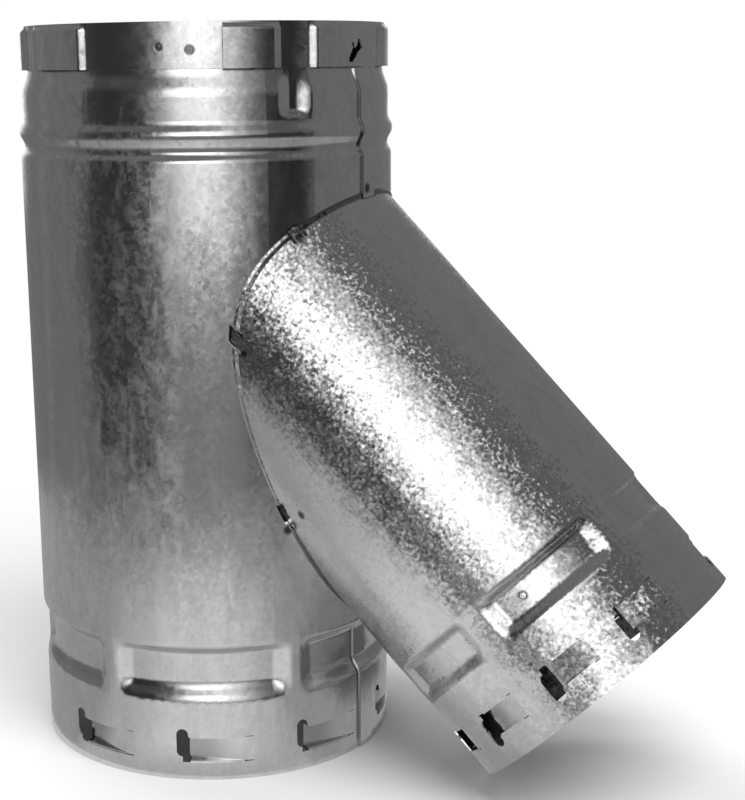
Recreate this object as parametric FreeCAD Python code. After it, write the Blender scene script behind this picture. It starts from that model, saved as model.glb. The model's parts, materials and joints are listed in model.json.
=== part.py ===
import FreeCAD, Part
import math
import os

from FreeCAD import Base

V = Base.Vector
os.makedirs("parts", exist_ok=True)

# Duct Y branch in formed galvanised sheet: an upright main duct, a smaller
# branch that leaves it downwards at 45 degrees, and a coupling strip clinched
# round the male end at the top.  Millimetres, +Z up.  The origin is the centre
# of the main duct's lower rim and the branch leaves along +X.

# Driving sizes
SHEET = 0.55               # thickness of every sheet
MAIN_R = 71.4              # outer radius of the main duct
BRANCH_R = 57.1            # outer radius of the branch
HEIGHT = 279.3             # lower rim to upper rim
BRANCH_ANGLE = 45.0        # between the branch and the main duct's lower end
CROSS_BELOW_TOP = 70.4     # the branch axis meets the main axis this far down
BRANCH_LEN = 234.4         # from that crossing to the branch's rim
SOCKET_STEP = 0.7          # the main duct's female end is this much smaller than the duct
RIM_FIT = 0.1              # play round the male strip in a female end

# Male end: strip, neck, shoulder, groove and bead, heights from the upper rim
STRIP_H = 15.8
STRIP_TOP_BEVEL = 2.8
STRIP_FIT = 0.02           # keeps the strip from cutting into the neck
PAD_RISE = 1.75            # how far the pads stand out of the strip
SHOULDER_START = 15.2
SHOULDER_END = 25.2
BARREL_END = 33.3
BEAD_TOP = 35.6
BEAD_CREST = 38.2
GROOVE_FLOOR = 43.9
GROOVE_END = 47.6
BARREL_DEPTH = 1.3         # radius lost from the duct at the barrel
BEAD_RISE = 0.35           # radius gained over the duct at the bead
GROOVE_DEPTH = 1.55

# Flute pressed into the shoulder under a gap of the strip
FLUTE_FROM = -39.5
FLUTE_SWEEP = 11.7
FLUTE_SIDE = 5.1
FLUTE_DEPTH = 2.4

# Locking features, angles in degrees about each duct's own axis
MAIN_LANCE_PITCH = 38.4
PAD_PITCH = 37.55
PAD_SWEEP = 28.6           # a pad with both of its sloping ends
PAD_END_SLOPE = 2.8
PAD_COUNT = 8
PAD_FIRST = -28.4          # where the first full pad starts
SHORT_PAD_FROM = -55.0
SHORT_PAD_TO = -37.4
TAIL_END = -47.0           # the strip's plain end, under the short pad

MAIN_LANCE_FIRST = -112.2
MAIN_LANCE_COUNT = 9
MAIN_LANCE_SWEEP = 24.0
MAIN_LANCE_Z = 7.4
BRANCH_LANCE_FIRST = 28.4
BRANCH_LANCE_PITCH = 33.4
BRANCH_LANCE_COUNT = 10
BRANCH_LANCE_SWEEP = 21.6
BRANCH_LANCE_Z = 10.2
TAB_H = 9.6                # height of a lance's tab
TAB_DIP = 3.0              # how far its free end is bent in
TAB_ROOT = 1.2             # degrees of wall that the tab's root runs into
TAB_SKIN = 0.04            # a tab is this much thinner than the wall on each face
CHEEK_FROM = 0.14          # side cheeks run over this share of a tab from its root
CHEEK_TO = 0.97
CHEEK_T = 0.8              # thickness of a cheek, partly inside the wall and the tab
EYE_W = 4.6                # clearance eye at the free end
EYE_H = 11.2
EYE_RISE = 1.9             # the eye sits this much above the tab's lower edge

# Pressed stop panels of the female ends, heights from each rim
PANEL_COUNT = 6
MAIN_PANEL_FIRST = -95.6   # middle of a rib between two panels
MAIN_RIB = 1.9
BRANCH_PANEL_FIRST = 27.5
BRANCH_RIB = 6.4
PANEL_SIDE = 6.3
MAIN_PANEL_DEPTH = 3.3
BRANCH_PANEL_DEPTH = 2.7
MAIN_PANEL_Z = (30.6, 38.9, 48.4, 55.4)
BRANCH_PANEL_Z = (32.6, 38.9, 46.6, 51.4)

# Longitudinal lock seams
SEAM_FROM = -8.6
SEAM_SWEEP = 7.0
SEAM_RISE = 0.7
BRANCH_SEAM_RISE = 1.0
SEAM_NOTCH_ROOM = 0.45     # room over the main seam where it passes under the branch
BRANCH_SEAM_FROM = -154.0
BRANCH_SEAM_SWEEP = 8.8

# Joint between the two ducts
LIP_W = 0.8                # turned edge of the branch, lying on the main duct
DUCT_HOLE_R = 51.5         # opening in the main duct, about the branch axis
JOINT_TABS = (-128.0, -87.0, -45.5, 45.5, 87.0, 128.0)
JOINT_TAB_W = 3.8
JOINT_TAB_REACH = 4.2      # how far a tab passes through the main wall
RELIEF_W = 1.2             # relief cut on each side of a tab
RELIEF_DEPTH = 3.4
SLOT_OUT = 1.5             # each slot shows this much beyond the branch wall
SLOT_IN = 2.0

# Button clinches, and the torn notch in one pad, as (angle, height) marks
CLINCH_R = 1.45
CLINCH_CUT = 0.42
STRIP_CLINCHES = ((-73.6, 271.0), (-64.5, 269.8))
BRANCH_CLINCHES = (68.4, 95.2)
TEAR_AT = -9.6             # angles of the notch's corners count from here
TEAR = ((-3.3, 265.1), (-1.5, 265.1), (1.0, 268.5), (3.3, 270.2), (2.5, 272.6), (1.3, 273.3),
        (0.3, 270.6), (-1.0, 269.9), (-1.2, 271.9), (-2.2, 271.9), (-2.0, 269.2), (-3.5, 266.5))

# Tied sizes
RING_R = MAIN_R - SOCKET_STEP
PAD_R = RING_R - SHEET - RIM_FIT
NECK_R = PAD_R - PAD_RISE - SHEET
STRIP_R = NECK_R + SHEET + STRIP_FIT
BARREL_R = MAIN_R - BARREL_DEPTH
BEAD_R = MAIN_R + BEAD_RISE
GROOVE_R = MAIN_R - GROOVE_DEPTH
BRANCH_RING_R = BRANCH_R - SOCKET_STEP / 2.0
CROSS_Z = HEIGHT - CROSS_BELOW_TOP
STRIP_Z = HEIGHT - STRIP_H
AXIS_REACH = 2.0 * MAIN_R
STEPS = 5                  # sections across each eased side


def wall_line(levels, curved, shift):
    """Edges of a wall line through (height, radius) levels, lowest first."""
    edges = []
    for (z0, r0), (z1, r1), bent in zip(levels, levels[1:], curved):
        p0 = V(r0 + shift, 0, z0)
        p1 = V(r1 + shift, 0, z1)
        if bent:
            curve = Part.BSplineCurve()
            curve.interpolate(Points=[p0, p1], InitialTangent=V(0, 0, 1), FinalTangent=V(0, 0, 1))
            edges.append(curve.toShape())
        else:
            edges.append(Part.LineSegment(p0, p1).toShape())
    return edges


def wall_wire(levels, curved, inner=-SHEET, outer=0.0):
    """Closed outline of a wall whose outer line runs through the levels."""
    out = wall_line(levels, curved, outer)
    back = wall_line(levels, curved, inner)
    top = Part.LineSegment(out[-1].Vertexes[-1].Point, back[-1].Vertexes[-1].Point).toShape()
    low = Part.LineSegment(back[0].Vertexes[0].Point, out[0].Vertexes[0].Point).toShape()
    return Part.Wire(Part.__sortEdges__(out + [top] + back + [low]))


def bent_runs(*sections):
    """Which runs of a wall line change radius in any of the sections."""
    count = len(sections[0]) - 1
    return [any(abs(s[i][1] - s[i + 1][1]) > 1e-6 for s in sections) for i in range(count)]


def turned(shape, angle):
    """Copy of a shape turned about Z."""
    copy = shape.copy()
    copy.rotate(V(0, 0, 0), V(0, 0, 1), angle)
    return copy


def swept(levels, start, sweep, curved=None, inner=-SHEET, outer=0.0):
    """Wall with one section, swept about Z from a start angle."""
    face = Part.Face(wall_wire(levels, curved or bent_runs(levels), inner, outer))
    return turned(face.revolve(V(0, 0, 0), V(0, 0, 1), sweep), start)


def fused(shapes):
    """One shape from touching shapes."""
    return shapes[0].multiFuse(shapes[1:])


def eased(t):
    """Smooth step from 0 to 1."""
    t = max(0.0, min(1.0, t))
    return t * t * (3.0 - 2.0 * t)


def raised(angle, start, sweep, side):
    """How fully a pressed feature stands at an angle: 0 outside it, 1 on its flat."""
    along = (angle - start) % 360.0
    if along > sweep:
        return 0.0
    return eased(min(along, sweep - along) / side)


def formed(base, features, first=0.0, total=360.0):
    """Wall whose section changes with angle.

    base is the plain section.  Each feature is (pressed section, start, sweep, side): the
    wall eases from the plain to the pressed section over each side.
    """
    curved = bent_runs(base, *[f[0] for f in features])
    marks = {first, first + total}
    for _, start, sweep, side in features:
        for edge in (start, start + side, start + sweep - side, start + sweep):
            along = round((edge - first) % 360.0, 6)
            if along < total:
                marks.add(first + along)
    marks = sorted(marks)

    def section(angle):
        levels = []
        for i, (z, r) in enumerate(base):
            for pressed, start, sweep, side in features:
                r += (pressed[i][1] - base[i][1]) * raised(angle, start, sweep, side)
            levels.append((z, r))
        return levels

    pieces = []
    for a0, a1 in zip(marks, marks[1:]):
        if a1 - a0 < 1e-4:
            continue
        middle = section((a0 + a1) / 2.0)
        ends = section(a0) + section(a1)
        if max(abs(p[1] - q[1]) for p, q in zip(ends, middle + middle)) < 1e-6:
            pieces.append(swept(middle, a0, a1 - a0, curved))
            continue
        wires = []
        for i in range(STEPS + 1):
            angle = a0 + (a1 - a0) * i / STEPS
            wires.append(turned(wall_wire(section(angle), curved), angle))
        pieces.append(Part.makeLoft(wires, True, False))
    return fused(pieces)


def sector(r0, r1, z0, z1, start, sweep):
    """Plain block between two radii, two heights and two angles."""
    face = Part.Face(Part.makePolygon([V(r0, 0, z0), V(r1, 0, z0), V(r1, 0, z1), V(r0, 0, z1),
                                       V(r0, 0, z0)]))
    return turned(face.revolve(V(0, 0, 0), V(0, 0, 1), sweep), start)


def lance_window(ring_r, start, sweep, z_low, hinge_sign):
    """Cutter for one lance: the tab's window and the eye at its free end."""
    eye = math.degrees(EYE_W / ring_r)
    depth = SHEET + 1.0
    window = sector(ring_r - depth, ring_r + 1.0, z_low - 0.3, z_low + TAB_H + 0.3,
                    start + (eye / 2.0 if hinge_sign > 0 else 0.0), sweep - eye / 2.0)
    mid = start + (eye / 2.0 if hinge_sign > 0 else sweep - eye / 2.0)
    z0 = z_low + EYE_RISE + EYE_W / 2.0
    z1 = z_low + EYE_RISE + EYE_H - EYE_W / 2.0
    low = Part.makeCylinder(EYE_W / 2.0, 2.0 * depth, V(ring_r - depth, 0, z0), V(1, 0, 0))
    high = Part.makeCylinder(EYE_W / 2.0, 2.0 * depth, V(ring_r - depth, 0, z1), V(1, 0, 0))
    slab = Part.makeBox(2.0 * depth, EYE_W, z1 - z0, V(ring_r - depth, -EYE_W / 2.0, z0))
    return [window, turned(fused([low, slab, high]), mid)]


def lance_tab(ring_r, start, sweep, z_low, hinge_sign):
    """Tab rooted in the wall at one end of its window and bent inwards at the other."""
    eye = math.degrees(EYE_W / ring_r)
    hinge = start + sweep if hinge_sign > 0 else start
    span = (eye - sweep) * hinge_sign
    skin = (ring_r - TAB_SKIN, ring_r - SHEET + TAB_SKIN)

    def at(r, angle):
        a = math.radians(angle)
        return V(r * math.cos(a), r * math.sin(a), z_low)

    lines = []
    for r in skin:
        root = [at(r, hinge + TAB_ROOT * hinge_sign * part) for part in (1.0, 0.5, 0.0)]
        lines.append(Part.Arc(*root).toShape())
        curve = Part.BSplineCurve()
        steps = [i / 6.0 for i in range(7)]
        curve.interpolate([at(r - TAB_DIP * (0.65 * t + 0.35 * eased(t)), hinge + span * t)
                           for t in steps])
        lines.append(curve.toShape())
    tip = [at(r - TAB_DIP, hinge + span) for r in skin]
    root = [at(r, hinge + TAB_ROOT * hinge_sign) for r in skin]
    lines.append(Part.LineSegment(tip[0], tip[1]).toShape())
    lines.append(Part.LineSegment(root[0], root[1]).toShape())
    return Part.Face(Part.Wire(Part.__sortEdges__(lines))).extrude(V(0, 0, TAB_H))


def lance_cheek(ring_r, start, sweep, z_from, hinge_sign):
    """Side of a lance: the stretched sheet between the wall and one edge of the bent tab."""
    eye = math.degrees(EYE_W / ring_r)
    hinge = start + sweep if hinge_sign > 0 else start
    span = (eye - sweep) * hinge_sign
    mid = ring_r - SHEET / 2.0

    def at(r, share):
        a = math.radians(hinge + span * share)
        return V(r * math.cos(a), r * math.sin(a), z_from)

    def tab_r(share):
        return mid - TAB_DIP * (0.65 * share + 0.35 * eased(share))

    shares = [CHEEK_FROM + (CHEEK_TO - CHEEK_FROM) * i / 6.0 for i in range(7)]
    middle = (CHEEK_FROM + CHEEK_TO) / 2.0
    rim = Part.Arc(at(mid, CHEEK_FROM), at(mid, middle), at(mid, CHEEK_TO)).toShape()
    curve = Part.BSplineCurve()
    curve.interpolate([at(tab_r(share), share) for share in shares])
    ends = [Part.LineSegment(at(mid, share), at(tab_r(share), share)).toShape()
            for share in (CHEEK_FROM, CHEEK_TO)]
    wire = Part.Wire(Part.__sortEdges__([rim, curve.toShape()] + ends))
    return Part.Face(wire).extrude(V(0, 0, CHEEK_T))


def with_lances(ring, ring_r, first, pitch, count, sweep, z_low, hinge_sign):
    """Ring with a row of lances cut and bent in it."""
    cutters = []
    tabs = []
    for i in range(count):
        start = first + pitch * i
        cutters += lance_window(ring_r, start, sweep, z_low, hinge_sign)
        tabs.append(lance_tab(ring_r, start, sweep, z_low, hinge_sign))
        for z_from in (z_low - 0.55, z_low + TAB_H + 0.55 - CHEEK_T):
            tabs.append(lance_cheek(ring_r, start, sweep, z_from, hinge_sign))
    return ring.cut(cutters).multiFuse(tabs)


def placed_branch(shape):
    """Move a shape from the branch's own axis to its place on the main duct."""
    a = math.radians(BRANCH_ANGLE)
    s = math.sin(a)
    c = math.cos(a)
    matrix = Base.Matrix(c, 0, s, 0,
                         0, -1, 0, 0,
                         s, 0, -c, CROSS_Z,
                         0, 0, 0, 1)
    copy = shape.copy()
    copy.transformShape(matrix, True)
    return copy


def single(shape, name):
    """The shape as one solid, tidied."""
    tidy = shape.removeSplitter()
    if len(tidy.Solids) != 1:
        raise RuntimeError("%s has %d solids" % (name, len(tidy.Solids)))
    return tidy.Solids[0]


def panels(pressed, first_rib, rib, side):
    """The pressed stop panels of a female end, between narrow unpressed ribs."""
    pitch = 360.0 / PANEL_COUNT
    return [(pressed, first_rib + rib / 2.0 + pitch * i, pitch - rib, side)
            for i in range(PANEL_COUNT)]


# Main duct: levels up the wall as (height, outer radius)
z_a, z_b, z_c, z_d = MAIN_PANEL_Z
FLOOR_R = RING_R - MAIN_PANEL_DEPTH
SHOULDER = [(HEIGHT - BARREL_END, BARREL_R),
            (HEIGHT - BARREL_END + 3.8, BARREL_R),
            (HEIGHT - SHOULDER_END, BARREL_R),
            (HEIGHT - SHOULDER_START, NECK_R),
            (HEIGHT, NECK_R)]
FLUTED = [(z, r - (FLUTE_DEPTH if i in (1, 2) else 0.0)) for i, (z, r) in enumerate(SHOULDER)]
BEADED = [(HEIGHT - GROOVE_END, MAIN_R),
          (HEIGHT - GROOVE_FLOOR, GROOVE_R),
          (HEIGHT - BEAD_CREST, BEAD_R)]
PLAIN = [(0.0, RING_R), (z_a, RING_R), (z_b, RING_R), (z_c, RING_R), (z_d, MAIN_R)]
PRESSED = [(0.0, RING_R), (z_a, RING_R), (z_b, FLOOR_R), (z_c, FLOOR_R), (z_d, MAIN_R)]
duct_base = PLAIN + BEADED + SHOULDER
duct_panel = PRESSED + BEADED + SHOULDER
duct_flute = PLAIN + BEADED + FLUTED
casing = formed(duct_base, panels(duct_panel, MAIN_PANEL_FIRST, MAIN_RIB, PANEL_SIDE)
                + [(duct_flute, FLUTE_FROM, FLUTE_SWEEP, FLUTE_SIDE)])
casing = with_lances(casing, RING_R, MAIN_LANCE_FIRST, MAIN_LANCE_PITCH, MAIN_LANCE_COUNT,
                     MAIN_LANCE_SWEEP, MAIN_LANCE_Z, 1)

# folded lock seam up the wall, following the pressed panel
seam_levels = duct_panel[:-2] + [(STRIP_Z - 0.6, NECK_R)]
seam = swept(seam_levels, SEAM_FROM, SEAM_SWEEP, inner=-SHEET / 2.0, outer=SEAM_RISE)
casing = casing.fuse(seam)

# opening for the branch, and a slot for each of its joint tabs
hole = placed_branch(Part.makeCylinder(DUCT_HOLE_R, AXIS_REACH, V(0, 0, 20.0)))
slots = []
for angle in JOINT_TABS:
    half = JOINT_TAB_W / 2.0 + 0.4
    slot = Part.makeBox(SLOT_IN + SLOT_OUT, 2.0 * half, AXIS_REACH, V(BRANCH_R - SLOT_IN, -half, 0))
    slots.append(placed_branch(turned(slot, angle)))
casing = casing.cut([hole] + slots)
casing = single(casing, "main_duct")
casing.exportStep("parts/main_duct.step")

# Branch on its own axis: heights from the crossing, the rim at BRANCH_LEN
z_a, z_b, z_c, z_d = [BRANCH_LEN - z for z in BRANCH_PANEL_Z]
FLOOR_R = BRANCH_RING_R - BRANCH_PANEL_DEPTH
BRANCH_MOUTH = [(z_a, BRANCH_RING_R), (BRANCH_LEN, BRANCH_RING_R)]
branch_base = [(0.0, BRANCH_R), (z_d, BRANCH_R), (z_c, BRANCH_RING_R),
               (z_b, BRANCH_RING_R)] + BRANCH_MOUTH
branch_panel = [(0.0, BRANCH_R), (z_d, BRANCH_R), (z_c, FLOOR_R), (z_b, FLOOR_R)] + BRANCH_MOUTH
branch = formed(branch_base, panels(branch_panel, BRANCH_PANEL_FIRST, BRANCH_RIB,
                                    PANEL_SIDE + 0.8))
branch = with_lances(branch, BRANCH_RING_R, BRANCH_LANCE_FIRST, BRANCH_LANCE_PITCH,
                     BRANCH_LANCE_COUNT, BRANCH_LANCE_SWEEP,
                     BRANCH_LEN - BRANCH_LANCE_Z - TAB_H, -1)
branch_seam = swept(branch_panel, BRANCH_SEAM_FROM, BRANCH_SEAM_SWEEP, inner=-SHEET / 2.0,
                    outer=BRANCH_SEAM_RISE)
branch = branch.fuse(branch_seam)
for angle in BRANCH_CLINCHES:
    groove = Part.makeTorus(CLINCH_R, CLINCH_CUT, V(FLOOR_R, 0, (z_b + z_c) / 2.0), V(1, 0, 0))
    branch = branch.cut(turned(groove, angle))
main_core = Part.makeCylinder(MAIN_R, HEIGHT)
branch = placed_branch(branch).cut(main_core)


def shifted_core(distance):
    """The main duct's cylinder moved along the branch."""
    a = math.radians(BRANCH_ANGLE)
    copy = Part.makeCylinder(MAIN_R, 3.0 * HEIGHT, V(0, 0, -HEIGHT))
    copy.translate(V(math.sin(a) * distance, 0, -math.cos(a) * distance))
    return copy


# turned edge that lies on the main duct
lip_skin = Part.makeCylinder(MAIN_R + SHEET, HEIGHT).cut(main_core)
lip_ring = Part.makeCylinder(BRANCH_R + LIP_W, AXIS_REACH, V(0, 0, 10.0)).cut(
    Part.makeCylinder(BRANCH_R - SHEET / 2.0, AXIS_REACH, V(0, 0, 10.0)))
lip = placed_branch(lip_ring).common(lip_skin)
branch = branch.fuse(lip)

# joint tabs through the main wall, each between two relief cuts
relief_room = shifted_core(RELIEF_DEPTH).cut(shifted_core(0.0))
tab_room = shifted_core(0.5).cut(shifted_core(-JOINT_TAB_REACH))
for angle in JOINT_TABS:
    whole = JOINT_TAB_W + 2.0 * RELIEF_W
    bar = Part.makeBox(LIP_W + 3.0, whole, AXIS_REACH, V(BRANCH_R - SHEET - 1.0, -whole / 2.0, 0))
    keep = Part.makeBox(SHEET + 1.0, JOINT_TAB_W, AXIS_REACH,
                        V(BRANCH_R - SHEET - 1.0, -JOINT_TAB_W / 2.0, 0))
    branch = branch.cut(placed_branch(turned(bar.cut(keep), angle)).common(relief_room))
    wall = Part.makeCylinder(BRANCH_R, AXIS_REACH).cut(
        Part.makeCylinder(BRANCH_R - SHEET, AXIS_REACH))
    band = Part.makeBox(4.0, JOINT_TAB_W, AXIS_REACH, V(BRANCH_R - 3.0, -JOINT_TAB_W / 2.0, 0))
    tab = placed_branch(wall.common(turned(band, angle))).common(tab_room)
    branch = branch.fuse(tab)

# notch where the main duct's seam passes under the branch wall
seam_room = sector(MAIN_R - 1.0, MAIN_R + SEAM_RISE + SEAM_NOTCH_ROOM, 1.0, HEIGHT, SEAM_FROM - 0.5,
                   SEAM_SWEEP + 1.0)
branch = branch.cut(seam_room)
branch = single(branch, "branch_duct")
branch.exportStep("parts/branch_duct.step")

# Coupling strip round the neck: flat runs, raised pads open below, and a short
# pad at one end that covers the strip's plain tail
flat = [(STRIP_Z, STRIP_R), (HEIGHT - STRIP_TOP_BEVEL, STRIP_R), (HEIGHT, STRIP_R)]
pad = [(STRIP_Z, PAD_R), (HEIGHT - STRIP_TOP_BEVEL, PAD_R), (HEIGHT, STRIP_R + 0.25)]
short_sweep = SHORT_PAD_TO - SHORT_PAD_FROM
short_pad = swept(pad, SHORT_PAD_FROM, short_sweep - PAD_END_SLOPE, bent_runs(flat, pad))
pads = [(pad, PAD_FIRST + PAD_PITCH * i, PAD_SWEEP, PAD_END_SLOPE) for i in range(PAD_COUNT)]
pads.append((pad, SHORT_PAD_FROM - PAD_END_SLOPE, short_sweep + PAD_END_SLOPE, PAD_END_SLOPE))
strip_from = SHORT_PAD_TO - PAD_END_SLOPE
strip = formed(flat, pads, strip_from, PAD_FIRST + PAD_PITCH * PAD_COUNT - strip_from)
tail_from = PAD_FIRST + PAD_PITCH * PAD_COUNT
tail = swept(flat, tail_from, TAIL_END + 360.0 - tail_from, bent_runs(flat, pad))
strip = fused([short_pad, strip, tail])
for angle, z in STRIP_CLINCHES:
    groove = Part.makeTorus(CLINCH_R, CLINCH_CUT, V(STRIP_R + 0.05, 0, z), V(1, 0, 0))
    strip = strip.cut(turned(groove, angle))

# torn notch in the pad that rides over the main duct's seam
points = [V(STRIP_R + 0.4, math.radians(a) * PAD_R, z) for a, z in TEAR]
tear = Part.Face(Part.makePolygon(points + points[:1])).extrude(V(4.0, 0, 0))
strip = strip.cut(turned(tear, TEAR_AT))
strip = single(strip, "coupling_strip")
strip.exportStep("parts/coupling_strip.step")
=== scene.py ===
"""Looks of an upright galvanised duct with a 45 degree branch: finishes, studio and camera."""

import json
import logging
import math
from dataclasses import dataclass, field
from enum import Enum
from typing import Any, Optional, Sequence, Union

import bpy
from mathutils import Matrix, Vector

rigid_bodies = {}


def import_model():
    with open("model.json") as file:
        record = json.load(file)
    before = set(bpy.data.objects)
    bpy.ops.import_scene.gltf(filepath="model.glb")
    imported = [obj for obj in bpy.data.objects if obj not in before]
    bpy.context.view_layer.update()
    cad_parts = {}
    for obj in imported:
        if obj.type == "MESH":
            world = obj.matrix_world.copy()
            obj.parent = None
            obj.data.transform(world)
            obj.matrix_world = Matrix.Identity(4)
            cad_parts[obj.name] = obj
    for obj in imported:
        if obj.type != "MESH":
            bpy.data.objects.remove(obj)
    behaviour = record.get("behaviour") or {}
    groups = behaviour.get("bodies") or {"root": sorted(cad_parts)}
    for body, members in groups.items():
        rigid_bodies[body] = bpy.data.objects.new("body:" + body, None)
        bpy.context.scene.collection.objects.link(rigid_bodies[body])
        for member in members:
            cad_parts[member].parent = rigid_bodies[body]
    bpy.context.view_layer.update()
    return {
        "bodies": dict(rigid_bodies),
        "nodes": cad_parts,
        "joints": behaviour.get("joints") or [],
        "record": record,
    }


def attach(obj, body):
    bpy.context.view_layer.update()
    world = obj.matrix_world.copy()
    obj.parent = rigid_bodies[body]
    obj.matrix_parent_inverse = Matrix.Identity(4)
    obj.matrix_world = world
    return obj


LOG = logging.getLogger("duct")
ROOT_BODY = "root"
Span = tuple[float, float]
Triple = tuple[float, float, float]
Edges = tuple[float, float, float, float]
Seat = tuple[Triple, Triple]

# Unit vectors. The branch leaves downwards at 45 degrees.
UP: Triple = (0.0, 0.0, 1.0)
DOWN: Triple = (0.0, 0.0, -1.0)
FRONT: Triple = (-0.035, -0.999, 0.0)
ALONG_BRANCH: Triple = (0.70711, 0.0, -0.70711)
OVER_BRANCH: Triple = (0.70711, 0.0, 0.70711)

# Noise colours run from 0 to 1, so this is the value that leaves a surface as it is.
MIDDLE: Triple = (0.5, 0.5, 0.5)


class Slot(Enum):
    """Material slots of the record."""

    MAIN = "galvanised_main"
    BRANCH = "galvanised_branch"
    STRIP = "galvanised_strip"


class Side(Enum):
    """Where a studio panel stands."""

    DOME = "dome"
    GROUND = "ground"


def polar(azimuth: float, elevation: float, reach: float) -> Vector:
    """Point at an azimuth from +X and an elevation, in degrees, and a distance."""
    a, e = math.radians(azimuth), math.radians(elevation)
    return Vector((math.cos(a) * math.cos(e), math.sin(a) * math.cos(e), math.sin(e))) * reach


class Term:
    """A shader value that takes part in Python expressions."""

    def __init__(self, kit: "NodeKit", socket: bpy.types.NodeSocket) -> None:
        self.kit = kit
        self.socket = socket

    def __add__(self, other: "Amount") -> "Term":
        """Sum."""
        return self.kit.maths("ADD", self, other)

    def __sub__(self, other: "Amount") -> "Term":
        """Difference."""
        return self.kit.maths("SUBTRACT", self, other)

    def __rsub__(self, other: float) -> "Term":
        """Difference from a number."""
        return self.kit.maths("SUBTRACT", other, self)

    def __mul__(self, other: "Amount") -> "Term":
        """Product."""
        return self.kit.maths("MULTIPLY", self, other)

    def __pow__(self, other: float) -> "Term":
        """Power."""
        return self.kit.maths("POWER", self, other)

    def larger(self, other: "Amount") -> "Term":
        """The larger of two values."""
        return self.kit.maths("MAXIMUM", self, other)

    def size(self) -> "Term":
        """The value without its sign."""
        return self.kit.maths("ABSOLUTE", self)

    def step(self, low: float, high: float) -> "Term":
        """Smooth step.

        Args:
            low: Value at which the result is 0.
            high: Value at which the result is 1. It may lie under low.

        Returns:
            A value from 0 to 1.
        """
        node = self.kit.node("ShaderNodeMapRange", {"interpolation_type": "SMOOTHSTEP"},
                             {"Value": self, "From Min": low, "From Max": high})
        return Term(self.kit, node.outputs["Result"])


Amount = Union[float, Term]


class NodeKit:
    """Adds nodes to one shader or geometry tree."""

    def __init__(self, tree: bpy.types.NodeTree) -> None:
        """Start with an empty tree."""
        self.tree = tree
        tree.nodes.clear()

    def node(self, kind: str, settings: Optional[dict[str, Any]] = None,
             inputs: Optional[dict[Any, Any]] = None) -> bpy.types.Node:
        """Add one node.

        Args:
            kind: Blender's node type.
            settings: Properties, set before the sockets.
            inputs: Socket name or number to a value, a Term or an output socket.

        Returns:
            The new node.
        """
        made = self.tree.nodes.new(kind)
        for name, value in (settings or {}).items():
            setattr(made, name, value)
        for name, value in (inputs or {}).items():
            socket = made.inputs[name]
            if isinstance(value, Term):
                self.tree.links.new(value.socket, socket)
            elif isinstance(value, bpy.types.NodeSocket):
                self.tree.links.new(value, socket)
            else:
                socket.default_value = value
        return made

    def maths(self, operation: str, first: Any, second: Any = None) -> Term:
        """Add a Math node on one or two values."""
        inputs = {0: first} if second is None else {0: first, 1: second}
        made = self.node("ShaderNodeMath", {"operation": operation}, inputs)
        return Term(self, made.outputs[0])

    def vector(self, operation: str, first: Any, second: Any = None,
               scale: Any = None) -> bpy.types.NodeSocket:
        """Add a Vector Math node and return its vector output."""
        inputs = {0: first}
        if second is not None:
            inputs[1] = second
        if scale is not None:
            inputs["Scale"] = scale
        made = self.node("ShaderNodeVectorMath", {"operation": operation}, inputs)
        return made.outputs["Vector"]

    def measure(self, operation: str, first: Any, second: Any = None) -> Term:
        """Add a Vector Math node and return its single value."""
        inputs = {0: first} if second is None else {0: first, 1: second}
        made = self.node("ShaderNodeVectorMath", {"operation": operation}, inputs)
        return Term(self, made.outputs["Value"])

    def parts(self, vector: bpy.types.NodeSocket) -> tuple[Term, Term, Term]:
        """Split a vector into its three values."""
        made = self.node("ShaderNodeSeparateXYZ", None, {0: vector})
        return tuple(Term(self, out) for out in made.outputs)

    def noise(self, where: bpy.types.NodeSocket, size: float, detail: float, rough: float,
              distortion: float = 0.0) -> bpy.types.Node:
        """Add a Noise texture whose features are about size wide, in metres."""
        return self.node("ShaderNodeTexNoise", {"noise_dimensions": "3D"},
                         {"Vector": where, "Scale": 1.0 / size, "Detail": detail,
                          "Roughness": rough, "Distortion": distortion})

    def mixed(self, factor: Any, first: Any, second: Any) -> bpy.types.NodeSocket:
        """Blend two colours."""
        made = self.node("ShaderNodeMix", {"data_type": "RGBA"},
                         {"Factor": factor, 6: first, 7: second})
        return made.outputs[2]


@dataclass(frozen=True)
class StainOrShadeSpot:
    """A dark spot: a stain on the sheet, or painted shade in a dimple or slot; a dried drop when
    its ring outweighs its middle.

    The last three values are shares of the radius: where the ring runs, how wide it is to
    each side, and how much of the middle is evenly dark.
    """

    place: Triple
    radius: float
    middle: float = 0.9
    ring: float = 0.0
    ring_at: float = 0.8
    ring_width: float = 0.3
    even: float = 0.35

    def darkness(self, kit: NodeKit, place: bpy.types.NodeSocket) -> Term:
        """Build the spot's darkness, from 0 to 1."""
        apart = kit.vector("SUBTRACT", place, self.place)
        radius = kit.measure("LENGTH", apart) * (1.0 / self.radius)
        rim = (radius - self.ring_at).size().step(self.ring_width, 0.0)
        return rim * self.ring + radius.step(1.0, self.even) * self.middle


@dataclass(frozen=True)
class FoldShade:
    """Painted shade: a dark upright line in the seam's fold. Azimuth and half width in degrees,
    heights in metres.

    even is the share of the half width that is evenly dark, and fade the height, in metres,
    over which each end comes in.
    """

    azimuth: float
    half_width: float
    heights: Span
    strength: float
    even: float = 0.4
    fade: float = 0.004

    def darkness(self, kit: NodeKit, place: bpy.types.NodeSocket) -> Term:
        """Build the line's darkness, from 0 to 1."""
        x, y, z = kit.parts(place)
        angle = kit.maths("ARCTAN2", y, x) * math.degrees(1.0)
        away = (angle - self.azimuth).size()
        across = away.step(self.half_width, self.half_width * self.even)
        low, high = self.heights
        upright = across * z.step(low, low + self.fade) * z.step(high, high - self.fade)
        return upright * self.strength


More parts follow.
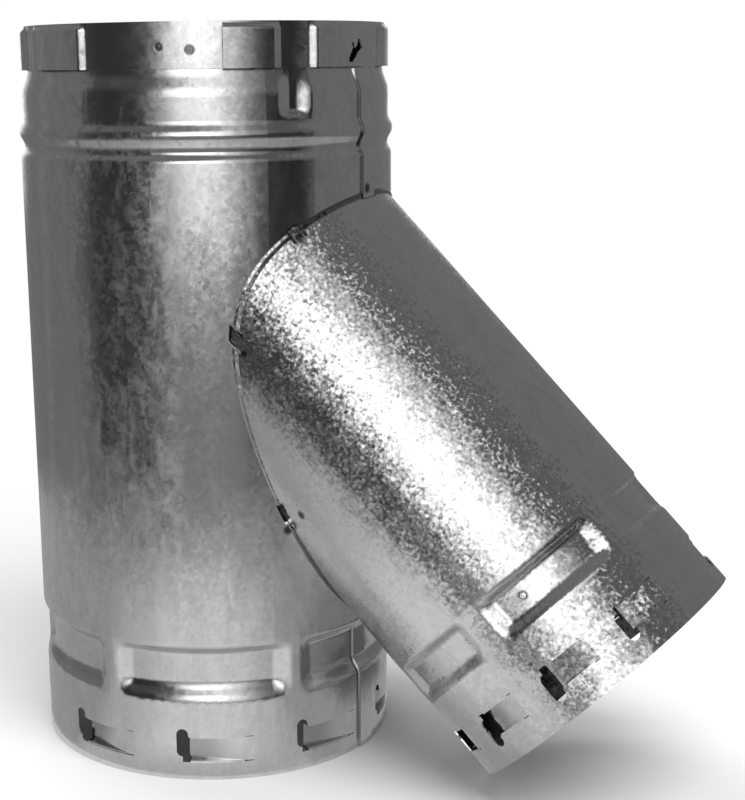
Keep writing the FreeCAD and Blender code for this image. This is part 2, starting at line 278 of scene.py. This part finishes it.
@dataclass(frozen=True)
class JointShadow:
    """Dark line where the branch meets the main duct, except along its bright side edges.

    reach gives the distances from the main duct's axis over which the darkness comes in, and
    sides the distances from the plane of the two axes.
    """

    reach: Span = (0.0726, 0.0718)
    sides: Span = (0.0455, 0.0415)
    strength: float = 0.75

    def darkness(self, kit: NodeKit, place: bpy.types.NodeSocket) -> Term:
        """Build the line's darkness, from 0 to 1."""
        x, y, _ = kit.parts(place)
        out = (x * x + y * y) ** 0.5
        return out.step(*self.reach) * y.size().step(*self.sides) * self.strength


@dataclass(frozen=True)
class InsideShade:
    """Painted shade on the inner faces and pressed-in tabs of a lanced end, seen through its
    openings.

    The axis is a unit vector that points out of the end, and reach gives the distances
    along it, from the stated point, over which the darkness comes in. skin is the radius of
    the sheet's outer face, and depths tells how far under it a tab's darkness comes in.
    inward gives the values, 1 for a face that looks straight out and -1 for one that looks
    at the axis, over which a face counts as an inner one.
    """

    axis: Triple
    point: Triple
    skin: float
    reach: Span
    strength: float = 0.86
    pocket: float = 0.45
    depths: Span = (0.0005, 0.0026)
    inward: Span = (-0.1, -0.5)

    def darkness(self, kit: NodeKit, place: bpy.types.NodeSocket) -> Term:
        """Build the darkness, from 0 to 1."""
        apart = kit.vector("SUBTRACT", place, self.point)
        along = kit.measure("DOT_PRODUCT", apart, self.axis)
        beside = kit.vector("SUBTRACT", apart, kit.vector("SCALE", self.axis, scale=along))
        out = kit.measure("LENGTH", beside)
        normal = kit.node("ShaderNodeNewGeometry").outputs["Normal"]
        facing = kit.measure("DOT_PRODUCT", kit.vector("NORMALIZE", beside), normal)
        shallow, deep = self.depths
        sunk = out.step(self.skin - shallow, self.skin - deep) * self.pocket
        hidden = facing.step(*self.inward).larger(sunk)
        return hidden * along.step(*self.reach) * self.strength


@dataclass(frozen=True)
class Region:
    """The sheet between two distances from the origin along a direction, with soft edges."""

    along: Triple
    span: Span
    soft: float

    def share(self, kit: NodeKit, place: bpy.types.NodeSocket) -> Term:
        """Build the region's mask, from 0 to 1."""
        far = kit.measure("DOT_PRODUCT", place, self.along)
        low, high = self.span
        return far.step(low, low + self.soft) * far.step(high, high - self.soft)


StainOrPaintedShade = Union[StainOrShadeSpot, FoldShade, JointShadow, InsideShade]


@dataclass(frozen=True)
class Galvanised:
    """Zinc-coated sheet with spangle, rolling marks, handling marks and painted shade.

    Lengths are in metres. Tilts are how far the surface normal leans, as a share of its
    length: 0.1 is about 6 degrees. Where the streaks' regions overlap, the wisps lean by
    streak_tilt more, and the dull patches are rougher by up to streak_dull. Each grain zone
    has the share by which the grain leans more there, or less below 0.

    cloud gives the wisps' values over which dull patches come in. dull_mix and dark_mix are
    the weights of the crystals and of these patches in the dullness and in the darkness.
    dull_relief is how much of dull_share the roughness gives up everywhere in return, and
    dark_tint is the share of the tint that is left where the sheet is darkest.
    """

    name: str
    tint: Triple = (0.66, 0.665, 0.66)
    roughness: float = 0.16
    crystal: float = 0.0013
    crystal_tilt: float = 0.08
    grain: float = 0.0006
    grain_tilt: float = 0.03
    wave: float = 0.045
    wave_tilt: float = 0.02
    wisp: float = 0.011
    wisp_tilt: float = 0.0
    wisp_stretch: float = 2.8
    streaks: tuple[Region, ...] = ()
    streak_tilt: float = 0.0
    streak_dull: float = 0.0
    grain_zones: tuple[tuple[Region, float], ...] = ()
    dull_share: float = 0.2
    dull_relief: float = 0.35
    cloud: Span = (0.35, 0.7)
    dull_mix: Span = (0.5, 0.5)
    dark_mix: Span = (0.06, 0.09)
    dark_tint: float = 0.03
    axis_turn: float = 0.0
    stains_and_painted_shade: tuple[StainOrPaintedShade, ...] = ()

    def material(self) -> bpy.types.Material:
        """Build the finish.

        Returns:
            The material, named after the finish.
        """
        made = bpy.data.materials.new(self.name)
        made.use_nodes = True
        kit = NodeKit(made.node_tree)
        place = kit.node("ShaderNodeTexCoord").outputs["Object"]
        turned = kit.node("ShaderNodeMapping", {"vector_type": "TEXTURE"},
                          {"Vector": place, "Rotation": (0.0, self.axis_turn, 0.0),
                           "Scale": (1.0, 1.0, self.wisp_stretch)}).outputs["Vector"]
        crystals = kit.node("ShaderNodeTexVoronoi", {"feature": "F1"},
                            {"Vector": place, "Scale": 1.0 / self.crystal, "Randomness": 1.0})
        grain = kit.noise(place, self.grain, detail=1.0, rough=0.5)
        wisps = kit.noise(turned, self.wisp, detail=4.0, rough=0.6, distortion=0.9)
        waves = kit.noise(turned, self.wave, detail=1.0, rough=0.4)
        grain_tilt: Amount = self.grain_tilt
        for zone, change in self.grain_zones:
            grain_tilt = zone.share(kit, place) * (change * self.grain_tilt) + grain_tilt
        wisp_tilt: Amount = self.wisp_tilt
        dull_share: Amount = self.dull_share
        if self.streaks:
            streaked: Amount = 1.0
            for region in self.streaks:
                streaked = region.share(kit, place) * streaked
            wisp_tilt = streaked * self.streak_tilt + wisp_tilt
            dull_share = streaked * self.streak_dull + dull_share
        normal = self.leaning_normal(kit, ((crystals, self.crystal_tilt), (grain, grain_tilt),
                                           (wisps, wisp_tilt), (waves, self.wave_tilt)))
        dull, dark = self.marks(kit, place, crystals, wisps)
        darkest = [channel * self.dark_tint for channel in self.tint]
        base = kit.mixed(dark, (*self.tint, 1.0), (*darkest, 1.0))
        clean = self.roughness * (1.0 - self.dull_relief * self.dull_share)
        roughness = dull * dull_share + clean
        surface = kit.node("ShaderNodeBsdfPrincipled", None,
                           {"Base Color": base, "Metallic": 1.0, "Roughness": roughness,
                            "Normal": normal})
        kit.node("ShaderNodeOutputMaterial", None, {"Surface": surface.outputs["BSDF"]})
        return made

    def leaning_normal(self, kit: NodeKit,
                       leans: Sequence[tuple[bpy.types.Node, Amount]]) -> bpy.types.NodeSocket:
        """Lean the surface normal by several textures.

        Args:
            kit: The material's nodes.
            leans: Textures whose colour is random, each with its tilt.

        Returns:
            The normal, of length 1.
        """
        normal = kit.node("ShaderNodeNewGeometry").outputs["Normal"]
        for texture, tilt in leans:
            centred = kit.vector("SUBTRACT", texture.outputs["Color"], MIDDLE)
            lean = kit.vector("SCALE", centred, scale=tilt * 2.0)
            normal = kit.vector("ADD", normal, lean)
        return kit.vector("NORMALIZE", normal)

    def marks(self, kit: NodeKit, place: bpy.types.NodeSocket, crystals: bpy.types.Node,
              wisps: bpy.types.Node) -> tuple[Term, Term]:
        """Work out where the sheet is dull and where it is dark.

        Args:
            kit: The material's nodes.
            place: Object coordinates.
            crystals: Voronoi cells.
            wisps: Stretched noise.

        Returns:
            Dullness and darkness, each from 0 to 1.
        """
        shade = kit.parts(crystals.outputs["Color"])[0]
        cloud = Term(kit, wisps.outputs["Fac"]).step(*self.cloud)
        dull = shade * self.dull_mix[0] + cloud * self.dull_mix[1]
        dark = shade * self.dark_mix[0] + cloud * self.dark_mix[1]
        # Stains, and painted shade in folds, openings, dimples and at the joint, darken the sheet
        # further.
        for stain_or_shade in self.stains_and_painted_shade:
            dark = dark.larger(stain_or_shade.darkness(kit, place))
        return dull, dark


@dataclass
class SheetPart:
    """One pressed-sheet part of the frame that keeps its own mesh."""

    node: str
    slot: Slot
    finish: Galvanised

    def dress(self, frame: dict[str, Any]) -> bpy.types.Object:
        """Give the part its finish.


        Returns:
            The part's object.
        """
        part = frame["nodes"][self.node]
        material = self.finish.material()
        for holder in part.material_slots:
            holder.material = material
        return part


@dataclass
class MainDuct(SheetPart):
    """The upright duct with its beads, stop panels and lances."""

    node: str = "main_duct"
    slot: Slot = Slot.MAIN
    finish: Galvanised = field(default_factory=lambda: Galvanised(
        "galvanised_main_sheet", roughness=0.15, crystal=0.0016, crystal_tilt=0.012,
        grain_tilt=0.02, wave=0.05, wave_tilt=0.03, wisp=0.0065, wisp_tilt=0.03,
        wisp_stretch=2.2, streak_tilt=0.10, streak_dull=0.14, streaks=(
            Region(FRONT, (0.0650, 0.09), 0.003),
            Region(UP, (0.08, 0.26), 0.03)),
        dull_share=0.12, stains_and_painted_shade=(
            # Painted shade inside the lanced lower end and on its pressed-in tabs.
            InsideShade(DOWN, (0.0, 0.0, 0.04), 0.0707, (0.0, 0.008)),
            StainOrShadeSpot((0.0012, -0.0714, 0.1535), 0.0042, 0.06, 0.22),
            StainOrShadeSpot((0.0562, -0.0440, 0.0975), 0.0026),
            StainOrShadeSpot((0.0440, -0.0566, 0.1700), 0.0022),
            StainOrShadeSpot((0.0716, -0.0076, 0.2203), 0.0026),
            # Painted shade along the fold of the lock seam.
            FoldShade(-8.7, 1.0, (0.058, 0.262), 0.7),
            FoldShade(-9.5, 0.9, (0.001, 0.056), 0.7))))


@dataclass
class BranchDuct(SheetPart):
    """The smaller duct at 45 degrees with its joint lip and tabs."""

    node: str = "branch_duct"
    slot: Slot = Slot.BRANCH
    finish: Galvanised = field(default_factory=lambda: Galvanised(
        "galvanised_branch_sheet", roughness=0.19, crystal=0.0011, crystal_tilt=0.04,
        grain_tilt=0.19, grain=0.0013, wave=0.04, wave_tilt=0.03, wisp=0.007, wisp_tilt=0.10,
        wisp_stretch=1.6, dull_share=0.12, axis_turn=math.radians(135.0),
        grain_zones=((Region(ALONG_BRANCH, (0.0325, 0.0560), 0.002), -0.7),
                     (Region(OVER_BRANCH, (0.0, 0.1510), 0.006), -0.65),
                     (Region(OVER_BRANCH, (0.1860, 0.2010), 0.004), 1.1)),
        stains_and_painted_shade=(
            # Painted shade inside the lanced end of the branch and on its tabs.
            InsideShade(ALONG_BRANCH, (0.14, 0.0, 0.0689), 0.0568, (0.0, 0.008)),
            # Painted shade of the slot where a joint tab is bent in.
            StainOrShadeSpot((0.0605, -0.0406, 0.2053), 0.0030),
            StainOrShadeSpot((0.0650, -0.0500, 0.1060), 0.0026),
            StainOrShadeSpot((0.0460, -0.0570, 0.1650), 0.0016),
            JointShadow())))


@dataclass
class CouplingStrip(SheetPart):
    """The strip with raised pads round the neck."""

    node: str = "coupling_strip"
    slot: Slot = Slot.STRIP
    finish: Galvanised = field(default_factory=lambda: Galvanised(
        "galvanised_strip_sheet", roughness=0.17, crystal=0.0014, crystal_tilt=0.014,
        grain_tilt=0.02, wave=0.03, wave_tilt=0.03, wisp=0.006, wisp_tilt=0.03,
        dull_share=0.1, stains_and_painted_shade=(
            # Painted shade on the two clinch buttons and the strip round them.
            StainOrShadeSpot((0.01928, -0.06552, 0.2710), 0.0017, 0.85),
            StainOrShadeSpot((0.02940, -0.06164, 0.2698), 0.0016, 0.8))))


class ButtonInput(Enum):
    """Named inputs of the clinch button tree."""

    RIM = "Rim Radius"
    BEAD = "Bead Radius"
    DISH = "Dish Radius"
    SEED = "Seed"
    FINISH = "Finish"


@dataclass
class ClinchButtons:
    """Small pressed buttons that clinch two layers of sheet, one on each stated seat.

    A button is a bead round a circle of radius rim, with a flattened dish in its middle.
    sizes gives the smallest and the largest scale that a button may get.
    """

    name: str
    slot: Slot
    host: str
    seats: tuple[Seat, ...]
    rim: float = 0.0016
    rim_sides: int = 28
    bead: float = 0.00026
    bead_sides: int = 10
    dish: float = 0.0007
    dish_sides: int = 20
    dish_rings: int = 10
    dish_flatness: float = 0.12
    sizes: Span = (0.92, 1.06)
    seed: int = 7

    def tree(self) -> bpy.types.NodeTree:
        """Build the Geometry Nodes tree that puts a button on each seat."""
        tree = bpy.data.node_groups.new(self.name + "_tree", "GeometryNodeTree")
        tree.interface.new_socket("Geometry", in_out="INPUT", socket_type="NodeSocketGeometry")
        for label, kind in ((ButtonInput.RIM, "NodeSocketFloat"),
                            (ButtonInput.BEAD, "NodeSocketFloat"),
                            (ButtonInput.DISH, "NodeSocketFloat"),
                            (ButtonInput.SEED, "NodeSocketInt"),
                            (ButtonInput.FINISH, "NodeSocketMaterial")):
            tree.interface.new_socket(label.value, in_out="INPUT", socket_type=kind)
        tree.interface.new_socket("Geometry", in_out="OUTPUT", socket_type="NodeSocketGeometry")
        kit = NodeKit(tree)
        given = kit.node("NodeGroupInput").outputs
        button = self.shape(kit, given)
        facing = kit.node("GeometryNodeInputNamedAttribute", {"data_type": "FLOAT_VECTOR"},
                          {"Name": "facing"})
        aimed = kit.node("FunctionNodeAlignRotationToVector", {"axis": "Z"},
                         {"Vector": facing.outputs["Attribute"]})
        points = kit.node("GeometryNodeMeshToPoints", None, {"Mesh": given["Geometry"]})
        placed = kit.node("GeometryNodeInstanceOnPoints", None,
                          {"Points": points.outputs["Points"],
                           "Instance": button.outputs["Geometry"],
                           "Rotation": aimed.outputs["Rotation"]})
        smallest, largest = self.sizes
        chance = kit.node("FunctionNodeRandomValue", {"data_type": "FLOAT"},
                          {2: smallest, 3: largest, "Seed": given[ButtonInput.SEED.value]})
        sized = kit.node("GeometryNodeScaleInstances", None,
                         {"Instances": placed.outputs["Instances"], "Scale": chance.outputs[1]})
        real = kit.node("GeometryNodeRealizeInstances", None,
                        {"Geometry": sized.outputs["Instances"]})
        smooth = kit.node("GeometryNodeSetShadeSmooth", None,
                          {"Geometry": real.outputs["Geometry"]})
        coated = kit.node("GeometryNodeSetMaterial", None,
                          {"Geometry": smooth.outputs["Geometry"],
                           "Material": given[ButtonInput.FINISH.value]})
        kit.node("NodeGroupOutput", None, {"Geometry": coated.outputs["Geometry"]})
        return tree

    def shape(self, kit: NodeKit, given: bpy.types.bpy_prop_collection) -> bpy.types.Node:
        """Build one button that faces +Z.

        Args:
            kit: The tree's nodes.
            given: Sockets of the tree's inputs.

        Returns:
            The node that joins the dish and the rim.
        """
        ring = kit.node("GeometryNodeCurvePrimitiveCircle", None,
                        {"Resolution": self.rim_sides, "Radius": given[ButtonInput.RIM.value]})
        bead = kit.node("GeometryNodeCurvePrimitiveCircle", None,
                        {"Resolution": self.bead_sides, "Radius": given[ButtonInput.BEAD.value]})
        rim = kit.node("GeometryNodeCurveToMesh", None,
                       {"Curve": ring.outputs["Curve"], "Profile Curve": bead.outputs["Curve"]})
        ball = kit.node("GeometryNodeMeshUVSphere", None,
                        {"Segments": self.dish_sides, "Rings": self.dish_rings,
                         "Radius": given[ButtonInput.DISH.value]})
        dish = kit.node("GeometryNodeTransform", None,
                        {"Geometry": ball.outputs["Mesh"],
                         "Scale": (1.0, 1.0, self.dish_flatness)})
        button = kit.node("GeometryNodeJoinGeometry")
        for piece in (dish.outputs["Geometry"], rim.outputs["Mesh"]):
            kit.tree.links.new(piece, button.inputs["Geometry"])
        return button

    def build(self, frame: dict[str, Any]) -> bpy.types.Object:
        """Make the buttons and let them ride with the part.


        Returns:
            The buttons' object.
        """
        points = bpy.data.meshes.new(self.name + "_seats")
        points.from_pydata([place for place, _ in self.seats], [], [])
        facing = points.attributes.new("facing", "FLOAT_VECTOR", "POINT")
        for item, (_, normal) in zip(facing.data, self.seats):
            item.vector = normal
        maker = bpy.data.objects.new(self.name + "_maker", points)
        bpy.context.scene.collection.objects.link(maker)
        modifier = maker.modifiers.new("buttons", "NODES")
        modifier.node_group = self.tree()
        material = frame["nodes"][self.host].material_slots[0].material
        values = {ButtonInput.RIM: self.rim, ButtonInput.BEAD: self.bead,
                  ButtonInput.DISH: self.dish, ButtonInput.SEED: self.seed,
                  ButtonInput.FINISH: material}
        sockets = {item.name: item.identifier for item in modifier.node_group.interface.items_tree
                   if item.in_out == "INPUT"}
        for label, value in values.items():
            modifier[sockets[label.value]] = value
        seen = maker.evaluated_get(bpy.context.evaluated_depsgraph_get())
        mesh = bpy.data.meshes.new_from_object(seen)
        bpy.data.objects.remove(maker)
        buttons = bpy.data.objects.new(self.name, mesh)
        bpy.context.scene.collection.objects.link(buttons)
        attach(buttons, ROOT_BODY)
        return buttons


@dataclass(frozen=True)
class RoundSheet:
    """A round sheet that carries buttons.

    skin is the radius of its face, turn takes +Z to the sheet's own axis, and start is the
    height of the point on +Z from which distances along that axis are counted.
    """

    skin: float
    turn: Matrix
    start: float

    def seat(self, azimuth: float, along: float) -> Seat:
        """Place a button at an angle round the axis, in degrees, and a distance along it.

        Returns:
            The button's middle and the direction it faces.
        """
        out = polar(azimuth, 0.0, self.skin) + Vector((0.0, 0.0, along))
        place = self.turn @ out + Vector((0.0, 0.0, self.start))
        return tuple(place), tuple(self.turn @ polar(azimuth, 0.0, 1.0))


def clinch_buttons() -> tuple[ClinchButtons, ...]:
    """The clinches seen on the coupling strip and on one stop panel of the branch."""
    half = math.sqrt(0.5)
    downwards = Matrix(((half, 0.0, half), (0.0, -1.0, 0.0), (half, 0.0, -half)))
    strip = RoundSheet(0.06828, Matrix.Identity(3), 0.0)
    branch = RoundSheet(0.05403, downwards, 0.2089)
    return (ClinchButtons("strip_clinch_buttons", Slot.STRIP, "coupling_strip",
                          (strip.seat(-73.6, 0.2710), strip.seat(-64.5, 0.2698))),
            ClinchButtons("branch_clinch_buttons", Slot.BRANCH, "branch_duct",
                          (branch.seat(68.4, 0.19165), branch.seat(95.2, 0.19165))))


@dataclass(frozen=True)
class Panel:
    """A card or soft panel that only the metal's reflections see.

    Spans are in degrees on the dome. On the ground the second span is distance in metres.
    edges are the widths over which the panel fades at its low and high azimuth and at its
    low and high second span, as shares of the panel. skew is how far the high azimuth edge
    draws in at the low rise, and the high rise edge at the low azimuth. reach is the dome's
    radius in metres, or the panel's height over the floor on the ground.
    """

    name: str
    azimuth: Span
    rise: Span
    level: float
    edges: Edges
    skew: Span = (0.0, 0.0)
    side: Side = Side.DOME
    reach: float = 3.0
    columns: int = 24
    rows: int = 12
    sharpest_edge: float = 0.001

    def point(self, u: float, v: float, centre: Vector) -> Vector:
        """Place one corner of the panel's grid."""
        azimuth = self.azimuth[0] + (self.azimuth[1] - self.azimuth[0]) * u
        across = self.rise[0] + (self.rise[1] - self.rise[0]) * v
        if self.side is Side.GROUND:
            out = polar(azimuth, 0.0, across)
            return Vector((out.x, out.y, self.reach))
        return centre + polar(azimuth, across, self.reach)

    def build(self, centre: Vector) -> None:
        """Make the panel, seen only by glossy rays.

        Args:
            centre: Middle of the dome.
        """
        grid = [(i / self.columns, j / self.rows)
                for j in range(self.rows + 1) for i in range(self.columns + 1)]
        wide = self.columns + 1
        faces = [(j * wide + i, j * wide + i + 1, (j + 1) * wide + i + 1, (j + 1) * wide + i)
                 for j in range(self.rows) for i in range(self.columns)]
        mesh = bpy.data.meshes.new(self.name)
        mesh.from_pydata([self.point(u, v, centre) for u, v in grid], [], faces)
        layer = mesh.uv_layers.new(name="place")
        for loop in mesh.loops:
            layer.data[loop.index].uv = grid[loop.vertex_index]
        mesh.materials.append(self.material())
        panel = bpy.data.objects.new(self.name, mesh)
        bpy.context.scene.collection.objects.link(panel)
        panel.visible_camera = False
        panel.visible_diffuse = False
        panel.visible_shadow = False
        panel.visible_transmission = False
        panel.visible_volume_scatter = False

    def material(self) -> bpy.types.Material:
        """Even light that fades at the panel's edges."""
        made = bpy.data.materials.new(self.name)
        made.use_nodes = True
        made.cycles.emission_sampling = "NONE"
        kit = NodeKit(made.node_tree)
        place = kit.node("ShaderNodeUVMap", {"uv_map": "place"}).outputs["UV"]
        u, v, _ = kit.parts(place)
        left, right, low, high = (max(edge, self.sharpest_edge) for edge in self.edges)
        across = u + (1.0 - v) * self.skew[0]
        along = v + (1.0 - u) * self.skew[1]
        shown = (u.step(0.0, left) * across.step(1.0, 1.0 - right)
                 * v.step(0.0, low) * along.step(1.0, 1.0 - high))
        glow = kit.node("ShaderNodeEmission", None, {"Strength": self.level})
        clear = kit.node("ShaderNodeBsdfTransparent")
        mix = kit.node("ShaderNodeMixShader", None,
                       {"Fac": shown, 1: clear.outputs[0], 2: glow.outputs[0]})
        kit.node("ShaderNodeOutputMaterial", None, {"Surface": mix.outputs[0]})
        return made


@dataclass(frozen=True)
class Lamp:
    """A soft box that lights the floor and casts the part's shadow.

    Angles are in degrees, seen from the middle of the part. reach is its distance from there
    and size its width, in metres.
    """

    name: str
    azimuth: float
    elevation: float
    reach: float
    size: float
    watts: float

    def build(self, centre: Vector) -> None:
        """Make the lamp, aimed at the middle of the part."""
        data = bpy.data.lights.new(self.name, "AREA")
        data.shape = "DISK"
        data.size = self.size
        data.energy = self.watts
        lamp = bpy.data.objects.new(self.name, data)
        bpy.context.scene.collection.objects.link(lamp)
        out = polar(self.azimuth, self.elevation, self.reach)
        lamp.location = centre + out
        lamp.rotation_mode = "QUATERNION"
        lamp.rotation_quaternion = out.to_track_quat("Z", "Y")
        lamp.visible_glossy = False


@dataclass
class Studio:
    """Pale floor, white surroundings, soft lamps, and the panels that metal reflects.

    shadow_reach gives the distances from the centre over which the floor turns from matt to
    plain white. ambient is the surroundings' strength as a light.
    """

    centre: Triple = (0.03, 0.0, 0.15)
    floor_radius: float = 9.0
    floor_sides: int = 48
    floor_colour: Triple = (0.80, 0.80, 0.80)
    shadow_reach: Span = (0.22, 0.62)
    ambient: float = 0.55
    lamps: tuple[Lamp, ...] = (
        Lamp("key_softbox", -40.0, 58.0, 2.2, 1.6, 42.0),
        Lamp("fill_softbox", 150.0, 50.0, 2.6, 2.0, 22.0),
    )
    panels: tuple[Panel, ...] = (
        Panel("grey_room", (-180.0, 180.0), (-8.0, 90.0), 0.20, (0.0, 0.0, 0.0, 0.0),
              reach=3.4, columns=72, rows=24),
        Panel("dark_flag_left", (-139.5, -80.0), (-14.0, 60.0), 0.035, (0.01, 0.45, 0.02, 0.55)),
        Panel("dark_flag_right", (-50.0, 4.0), (-14.0, 24.0), 0.02, (0.35, 0.01, 0.02, 0.4)),
        Panel("dim_flag_high", (-44.0, 14.0), (10.0, 76.0), 0.11, (0.2, 0.3, 0.2, 0.2),
              reach=2.9),
        Panel("rear_window", (92.0, 158.0), (-4.0, 60.0), 1.5, (0.35, 0.35, 0.1, 0.3),
              reach=1.6),
        Panel("bright_window", (-99.0, -16.0), (-6.5, 74.0), 1.32, (0.42, 0.49, 0.03, 0.25),
              (0.10, 0.45), reach=1.2),
        Panel("window_core", (-92.0, -46.0), (3.0, 44.0), 2.4, (0.35, 0.35, 0.3, 0.45),
              reach=1.15),
        # Ground panels: painted light and shadow of the floor, seen only in the metal's
        # reflections.
        Panel("ground", (-180.0, 180.0), (0.073, 3.6), 0.19, (0.0, 0.0, 0.0, 0.0),
              side=Side.GROUND, reach=0.0003, columns=72, rows=24),
        Panel("ground_near", (-180.0, 180.0), (0.073, 0.50), 0.40, (0.0, 0.0, 0.0, 0.35),
              side=Side.GROUND, reach=0.0004, columns=72),
        Panel("ground_under", (-125.0, -22.0), (0.073, 0.36), 0.57, (0.15, 0.12, 0.0, 0.4),
              side=Side.GROUND, reach=0.0005, columns=48),
        Panel("ground_rear", (84.0, 146.0), (0.073, 0.75), 0.80, (0.4, 0.4, 0.0, 0.4),
              side=Side.GROUND, reach=0.0005),
        Panel("ground_shadow", (-2.0, 50.0), (0.095, 0.30), 0.12, (0.15, 0.2, 0.15, 0.3),
              side=Side.GROUND, reach=0.00055, columns=48),
        Panel("ground_bright", (-106.0, -30.0), (0.073, 0.40), 0.86, (0.35, 0.35, 0.1, 0.5),
              side=Side.GROUND, reach=0.0006),
        Panel("ground_dark", (-139.5, 4.0), (0.34, 1.1), 0.20, (0.01, 0.01, 0.3, 0.3),
              side=Side.GROUND, reach=0.0007),
        Panel("ground_dark_left", (-139.5, -82.0), (0.50, 3.2), 0.04, (0.01, 0.4, 0.1, 0.0),
              side=Side.GROUND, reach=0.0008),
        Panel("ground_dark_right", (-50.0, 4.0), (0.42, 3.2), 0.03, (0.35, 0.01, 0.1, 0.0),
              side=Side.GROUND, reach=0.0009),
    )

    def build(self) -> None:
        """Make the floor, the surroundings, the lamps and the panels."""
        centre = Vector(self.centre)
        self.build_floor()
        self.build_world()
        for lamp in self.lamps:
            lamp.build(centre)
        for panel in self.panels:
            panel.build(centre)

    def build_floor(self) -> None:
        """Make the round floor."""
        turn = 360.0 / self.floor_sides
        corners = [polar(turn * i, 0.0, self.floor_radius) for i in range(self.floor_sides)]
        mesh = bpy.data.meshes.new("floor")
        mesh.from_pydata(corners, [], [tuple(range(self.floor_sides))])
        mesh.materials.append(self.floor_material())
        floor = bpy.data.objects.new("floor", mesh)
        bpy.context.scene.collection.objects.link(floor)

    def seen(self, kit: NodeKit) -> Term:
        """1 for camera, glossy and transmission rays, and 0 for the rest."""
        path = kit.node("ShaderNodeLightPath")
        rays = [Term(kit, path.outputs[name])
                for name in ("Is Camera Ray", "Is Glossy Ray", "Is Transmission Ray")]
        return rays[0].larger(rays[1]).larger(rays[2])

    def floor_material(self) -> bpy.types.Material:
        """Matt pale floor that turns plain white away from the part."""
        made = bpy.data.materials.new("pale_floor")
        made.use_nodes = True
        made.cycles.emission_sampling = "NONE"
        kit = NodeKit(made.node_tree)
        place = kit.node("ShaderNodeTexCoord").outputs["Object"]
        flat = kit.vector("SUBTRACT", place, (self.centre[0], self.centre[1], 0.0))
        far = kit.measure("LENGTH", flat)
        white = far.step(*self.shadow_reach) * self.seen(kit)
        matt = kit.node("ShaderNodeBsdfDiffuse", None, {"Color": (*self.floor_colour, 1.0)})
        glow = kit.node("ShaderNodeEmission", None, {"Strength": 1.0})
        mix = kit.node("ShaderNodeMixShader", None,
                       {"Fac": white, 1: matt.outputs[0], 2: glow.outputs[0]})
        kit.node("ShaderNodeOutputMaterial", None, {"Surface": mix.outputs[0]})
        return made

    def build_world(self) -> None:
        """White surroundings for the camera and for reflections, and a lower even light."""
        world = bpy.data.worlds.new("studio")
        world.use_nodes = True
        kit = NodeKit(world.node_tree)
        seen = self.seen(kit)
        strength = seen + (1.0 - seen) * self.ambient
        sky = kit.node("ShaderNodeBackground", None,
                       {"Color": (1.0, 1.0, 1.0, 1.0), "Strength": strength})
        kit.node("ShaderNodeOutputWorld", None, {"Surface": sky.outputs[0]})
        bpy.context.scene.world = world


@dataclass(frozen=True)
class PhotoCamera:
    """The camera at the photograph's viewing angle.

    Angles are in degrees and place is in metres. The focal length, the principal point and
    the frame are in pixels of the photograph.
    """

    place: Triple = (0.31607, -0.54967, 0.26525)
    heading: float = 117.589
    pitch_down: float = 14.547
    roll: float = 0.722
    focal_px: float = 1598.45
    principal_px: Span = (276.93, 477.24)
    frame_px: Span = (745.0, 800.0)
    sensor_mm: float = 36.0
    nearest: float = 0.01

    def build(self) -> None:
        """Make the camera and set it as the scene's."""
        long_side = max(self.frame_px)
        data = bpy.data.cameras.new("photo_camera")
        data.sensor_width = self.sensor_mm
        data.lens = self.focal_px / long_side * self.sensor_mm
        data.shift_x = (self.frame_px[0] / 2.0 - self.principal_px[0]) / long_side
        data.shift_y = (self.principal_px[1] - self.frame_px[1] / 2.0) / long_side
        data.clip_start = self.nearest
        camera = bpy.data.objects.new("photo_camera", data)
        bpy.context.scene.collection.objects.link(camera)
        camera.matrix_world = self.matrix()
        bpy.context.scene.camera = camera

    def matrix(self) -> Matrix:
        """Work out where the camera stands and how it is turned."""
        forward = polar(self.heading, -self.pitch_down, 1.0)
        level = polar(self.heading - 90.0, 0.0, 1.0)
        above = level.cross(forward)
        c, s = math.cos(math.radians(self.roll)), math.sin(math.radians(self.roll))
        right = level * c - above * s
        up = level * s + above * c
        turn = Matrix((right, up, -forward)).transposed().to_4x4()
        return Matrix.Translation(Vector(self.place)) @ turn


def empty_scene() -> None:
    """Remove whatever the new file holds."""
    for thing in list(bpy.data.objects):
        bpy.data.objects.remove(thing, do_unlink=True)


def plain_view() -> None:
    """Show colours as they are."""
    bpy.context.scene.view_settings.view_transform = "Standard"


def main() -> None:
    """Dress the parts, then make the studio and the camera."""
    logging.basicConfig(level=logging.INFO, format="%(name)s: %(message)s")
    empty_scene()
    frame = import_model()
    plain_view()
    for part in (MainDuct(), BranchDuct(), CouplingStrip()):
        made = part.dress(frame)
        LOG.info("%s: %d faces, %s", made.name, len(made.data.polygons), part.finish.name)
    for buttons in clinch_buttons():
        made = buttons.build(frame)
        LOG.info("%s: %d faces", made.name, len(made.data.polygons))
    Studio().build()
    PhotoCamera().build()


if __name__ == "__main__":
    main()
